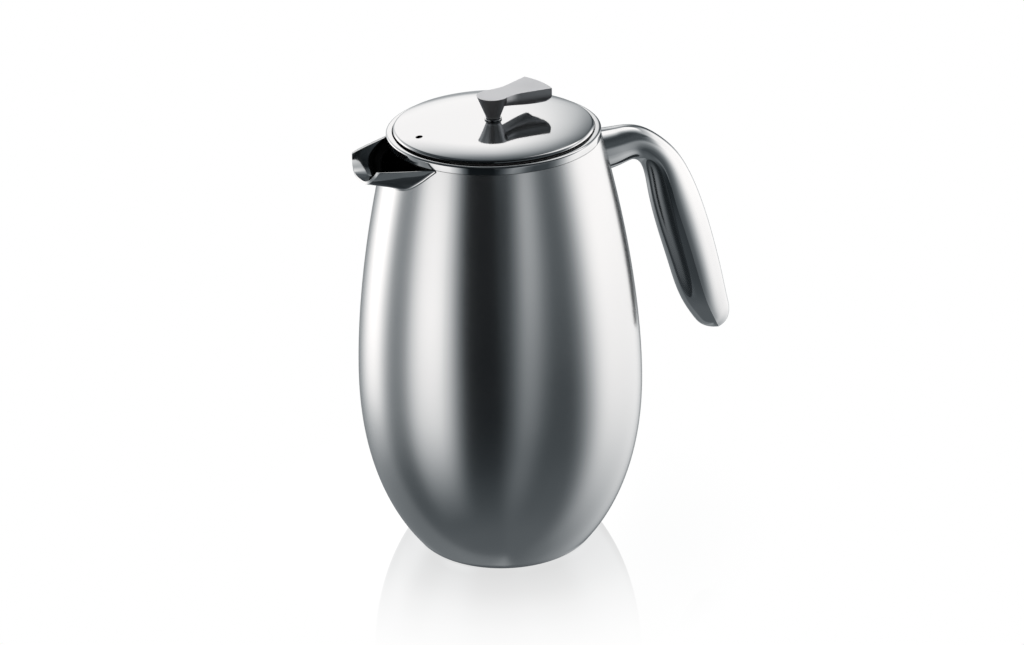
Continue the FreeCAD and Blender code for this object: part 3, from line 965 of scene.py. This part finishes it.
def camera():
    a, e, roll = CAMERA_AZIMUTH, CAMERA_PITCH, CAMERA_ROLL
    forward = Vector((-math.sin(a) * math.cos(e), math.cos(a) * math.cos(e), -math.sin(e)))
    right = Vector((math.cos(a), math.sin(a), 0))
    up = right.cross(forward)
    right_rolled = right * math.cos(roll) + up * math.sin(roll)
    up_rolled = up * math.cos(roll) - right * math.sin(roll)
    data = bpy.data.cameras.new("camera")
    data.lens = CAMERA_LENS
    data.sensor_width = 36.0
    data.sensor_fit = "HORIZONTAL"
    data.clip_start = 0.01
    obj = bpy.data.objects.new("camera", data)
    matrix = Matrix((right_rolled, up_rolled, -forward)).transposed().to_4x4()
    matrix.translation = CAMERA_PLACE
    obj.matrix_world = matrix
    bpy.context.scene.collection.objects.link(obj)
    bpy.context.scene.camera = obj


STEEL_GREY = 0.66   # the steel's own share of what it reflects
DEEP_SHARE = 0.3    # how much of the studio is left after three reflections

# Each light of the studio: brightness in the steel by angle around (0 is towards the camera,
# positive to its right), and by angle up. The two are multiplied, and the lights are added.
LIGHTS = [
    # far left strip softbox
    ([(-165, 0), (-152, .12), (-142, .5), (-133, .85), (-123, .96), (-115, .82), (-108, .42), (-99, .03),
      (-94, 0)],
     [(-50, 0), (-42, .01), (-36, .04), (-30, .24), (-24, .7), (-18, .88), (-8, .95), (6, .9), (14, .6),
      (24, .1), (30, 0)]),
    # grey card behind it
    ([(-168, 0), (-152, 1), (-95, 1), (-80, .6), (-62, 0)],
     [(-75, 0), (-60, .01), (-50, .02), (-40, .05), (-30, .13), (-20, .2), (-5, .24), (10, .28), (30, .05),
      (40, 0)]),
    # near left strip softbox
    ([(-90, 0), (-82, .16), (-74, .68), (-66, 1.03), (-57, 1.12), (-48, 1.05), (-40, .6), (-33, .14), (-27, 0)],
     [(-60, 0), (-50, .08), (-42, .2), (-35, .36), (-30, .5), (-20, .74), (-10, .86), (2, .82), (8, .68),
      (14, .14), (19, 0)]),
    # large softbox to the right, lower at its near end
    ([(58, 0), (66, .08), (72, .24), (78, .48), (84, .62), (90, .5), (98, 0)],
     [(-84, 0), (-70, .05), (-60, .15), (-50, .3), (-40, .49), (-30, .68), (-20, .83), (-10, .92), (3, .92),
      (8, .7), (13, .14), (18, 0)]),
    ([(78, 0), (84, .14), (90, .44), (98, 1.02), (142, 1), (154, 0)],
     [(-84, 0), (-70, .05), (-60, .15), (-50, .3), (-40, .49), (-30, .68), (-20, .83), (-10, .92), (5, .92),
      (13, .85), (20, .3), (26, 0)]),
    # its far end, which stops lower
    ([(142, 0), (154, .75), (158, .6), (164, .2), (170, .04), (176, 0)],
     [(-84, 0), (-70, .05), (-60, .15), (-50, .3), (-40, .49), (-30, .68), (-20, .83), (-12, .8), (-2, .1),
      (6, 0)]),
    ([(98, 0), (108, 1), (142, 1), (152, .4), (162, 0)],
     [(13, 0), (20, .48), (26, .5), (30, .4), (42, .15), (56, .03), (64, 0)]),
    # dark card in front of it
    ([(8, 0), (25, .5), (40, .9), (55, 1), (75, 1), (90, 0)],
     [(-70, 0), (-60, .01), (-40, .032), (-20, .034), (0, .065), (10, .06), (18, .01), (30, 0)]),
]
# A grey band to the right of the lens that leans as it rises: angle from its middle, and up.
LEAN = (22.0, 0.35, -10.0)
LEANING = ([(-16, 0), (-9, .3), (0, 1.05), (8, .78), (15, .25), (23, 0)],
           [(-66, 0), (-58, .02), (-50, .05), (-40, .09), (-30, .11), (-20, .18), (-10, .24), (0, .34),
            (7, .33), (13, .06), (18, 0)])
# White backdrop behind the object, by angle from straight behind it, and up.
BACKDROP = ([(-15, .06), (-12.4, .16), (-9.4, .36), (-6.9, .57), (-4.9, .7), (-3.4, .8), (-1.5, .93), (0, 1),
             (14, 1), (24, .45), (66, .45), (78, 0)],
            [(-16, .15), (-10, .35), (-5, .4), (0, .3), (4, .3), (9, .75), (14, .85), (28, .86), (30.5, .77),
             (33, .68), (36.8, .5), (40, .3), (43, .14), (46, .06), (52, 0)])
# A small window high behind the handle.
WINDOW = ([(-72, 0), (-56, .45), (-40, .9), (-17, .95), (-11, 0)],
          [(34, 0), (39, .95), (54, .9), (61, 0)])
# The room: dark, a little lighter underneath.
ROOM = [(-90, .092), (-68, .09), (-55, .06), (-45, .042), (-35, .021), (-20, .007), (0, .006), (15, .003),
        (90, .003)]
# The ceiling behind the object.
CEILING = ([(-130, 0), (-90, 1), (90, 1), (130, 0)],
           [(20, 0), (46, .035), (90, .045)])


def studio():
    """White surround for the eye and the floor, and softboxes for the steel to reflect."""
    world = bpy.data.worlds.new("studio")
    bpy.context.scene.world = world
    world.use_nodes = True
    nodes, links = world.node_tree.nodes, world.node_tree.links
    nodes.clear()
    out = nodes.new("ShaderNodeOutputWorld")
    place = nodes.new("ShaderNodeTexCoord")
    split = nodes.new("ShaderNodeSeparateXYZ")
    links.new(place.outputs["Generated"], split.inputs["Vector"])

    def sums(operation, *values):
        node = nodes.new("ShaderNodeMath")
        node.operation = operation
        for socket, value in zip(node.inputs, values):
            if isinstance(value, (int, float)):
                socket.default_value = value
            else:
                links.new(value, socket)
        return node.outputs[0]

    def curve(value, stops, wide):
        """Brightness at an angle, which runs from -wide to wide."""
        node = nodes.new("ShaderNodeValToRGB")
        node.color_ramp.interpolation = "LINEAR"
        elements = node.color_ramp.elements
        while len(elements) < len(stops):
            elements.new(0.5)
        for element, (angle, grey) in zip(elements, stops):
            element.position = (angle + wide) / (2 * wide)
        for element, (angle, grey) in zip(elements, stops):
            element.color = (grey, grey, grey, 1)
        share = sums("MULTIPLY_ADD", value, 1 / (2 * wide), 0.5)
        links.new(share, node.inputs["Fac"])
        return node.outputs["Color"]

    azimuth = sums("ARCTAN2", split.outputs["Y"], split.outputs["X"])
    towards_camera = math.atan2(CAMERA_PLACE.y, CAMERA_PLACE.x)
    degrees = sums("MULTIPLY", azimuth, 180 / math.pi)
    around = sums("WRAP", sums("SUBTRACT", degrees, math.degrees(towards_camera)), 180.0, -180.0)
    behind = sums("WRAP", sums("ADD", around, 180.0), 180.0, -180.0)
    upward = sums("MULTIPLY", sums("ARCSINE", split.outputs["Z"]), 180 / math.pi)
    middle = sums("MULTIPLY_ADD", sums("SUBTRACT", upward, LEAN[2]), LEAN[1], LEAN[0])
    leaning = sums("SUBTRACT", around, middle)

    total = curve(upward, ROOM, 90)
    for angle, light in [(around, light) for light in LIGHTS] + [
            (leaning, LEANING), (behind, BACKDROP), (behind, WINDOW), (behind, CEILING)]:
        lit = sums("MULTIPLY", curve(angle, light[0], 180), curve(upward, light[1], 90))
        total = sums("ADD", total, lit)
    total = sums("DIVIDE", total, STEEL_GREY)
    rays = nodes.new("ShaderNodeLightPath")
    deep = nodes.new("ShaderNodeMapRange")
    deep.inputs["From Min"].default_value = 2.0
    deep.inputs["From Max"].default_value = 3.0
    deep.inputs["To Min"].default_value = 1.0
    deep.inputs["To Max"].default_value = DEEP_SHARE
    links.new(rays.outputs["Ray Depth"], deep.inputs["Value"])
    total = sums("MULTIPLY", total, deep.outputs["Result"])
    colour = nodes.new("ShaderNodeCombineXYZ")
    for channel, power in (("X", 1.06), ("Y", 1.0), ("Z", 0.965)):
        links.new(sums("POWER", total, power), colour.inputs[channel])
    seen = nodes.new("ShaderNodeBackground")
    links.new(colour.outputs["Vector"], seen.inputs["Color"])
    plain = nodes.new("ShaderNodeBackground")
    plain.inputs["Color"].default_value = (1.0, 1.0, 1.0, 1)
    plain.inputs["Strength"].default_value = 1.0
    choose = nodes.new("ShaderNodeMixShader")
    links.new(rays.outputs["Is Glossy Ray"], choose.inputs["Fac"])
    links.new(plain.outputs["Background"], choose.inputs[1])
    links.new(seen.outputs["Background"], choose.inputs[2])
    links.new(choose.outputs["Shader"], out.inputs["Surface"])


FLOOR_MIRROR = [(0.0, .27), (.045, .27), (.06, .21), (.075, .12), (.09, .06), (.105, .02), (.12, 0)]


def floor():
    """A lit white table with a gloss near the foot. The steel reflects the studio, not the table."""
    mesh = bpy.data.meshes.new("floor")
    size = 6.0
    corners = [(-size, -size, 0), (size, -size, 0), (size, size, 0), (-size, size, 0)]
    mesh.from_pydata(corners, [], [(0, 1, 2, 3)])
    obj = bpy.data.objects.new("floor", mesh)
    bpy.context.scene.collection.objects.link(obj)
    mat = bpy.data.materials.new("floor_pale")
    mat.use_nodes = True
    nodes, links = mat.node_tree.nodes, mat.node_tree.links
    nodes.clear()
    out = nodes.new("ShaderNodeOutputMaterial")
    lit = nodes.new("ShaderNodeEmission")
    lit.inputs["Color"].default_value = (1, 1, 1, 1)
    gloss = nodes.new("ShaderNodeBsdfGlossy")
    gloss.inputs["Color"].default_value = (1, 1, 1, 1)
    gloss.inputs["Roughness"].default_value = 0.03
    place = nodes.new("ShaderNodeTexCoord")
    away = nodes.new("ShaderNodeVectorMath")
    away.operation = "LENGTH"
    links.new(place.outputs["Object"], away.inputs[0])
    fade = nodes.new("ShaderNodeValToRGB")
    elements = fade.color_ramp.elements
    while len(elements) < len(FLOOR_MIRROR):
        elements.new(0.5)
    for element, (distance, grey) in zip(elements, FLOOR_MIRROR):
        element.position = distance / 0.2
        element.color = (grey, grey, grey, 1)
    share = nodes.new("ShaderNodeMath")
    share.operation = "MULTIPLY"
    share.inputs[1].default_value = 1 / 0.2
    links.new(away.outputs["Value"], share.inputs[0])
    links.new(share.outputs[0], fade.inputs["Fac"])
    mix = nodes.new("ShaderNodeMixShader")
    links.new(fade.outputs["Color"], mix.inputs["Fac"])
    links.new(lit.outputs["Emission"], mix.inputs[1])
    links.new(gloss.outputs["BSDF"], mix.inputs[2])
    links.new(mix.outputs["Shader"], out.inputs["Surface"])
    mesh.materials.append(mat)
    obj.visible_glossy = False


outer_shell()
inner_vessel()
base_plate()
neck_collar()
spout()
handle_half("handle_outer_shell", "handle_outer_half", 1)
handle_half("handle_inner_shell", "handle_inner_half", -1)
lid_cover()
lid_skirt()
rod_guide()
knob()
plunger_rod()
spiral_plate()
filter_coil()
mesh_screen()
carried_over()
camera()
studio()
floor()
bpy.context.scene.view_settings.view_transform = "Standard"
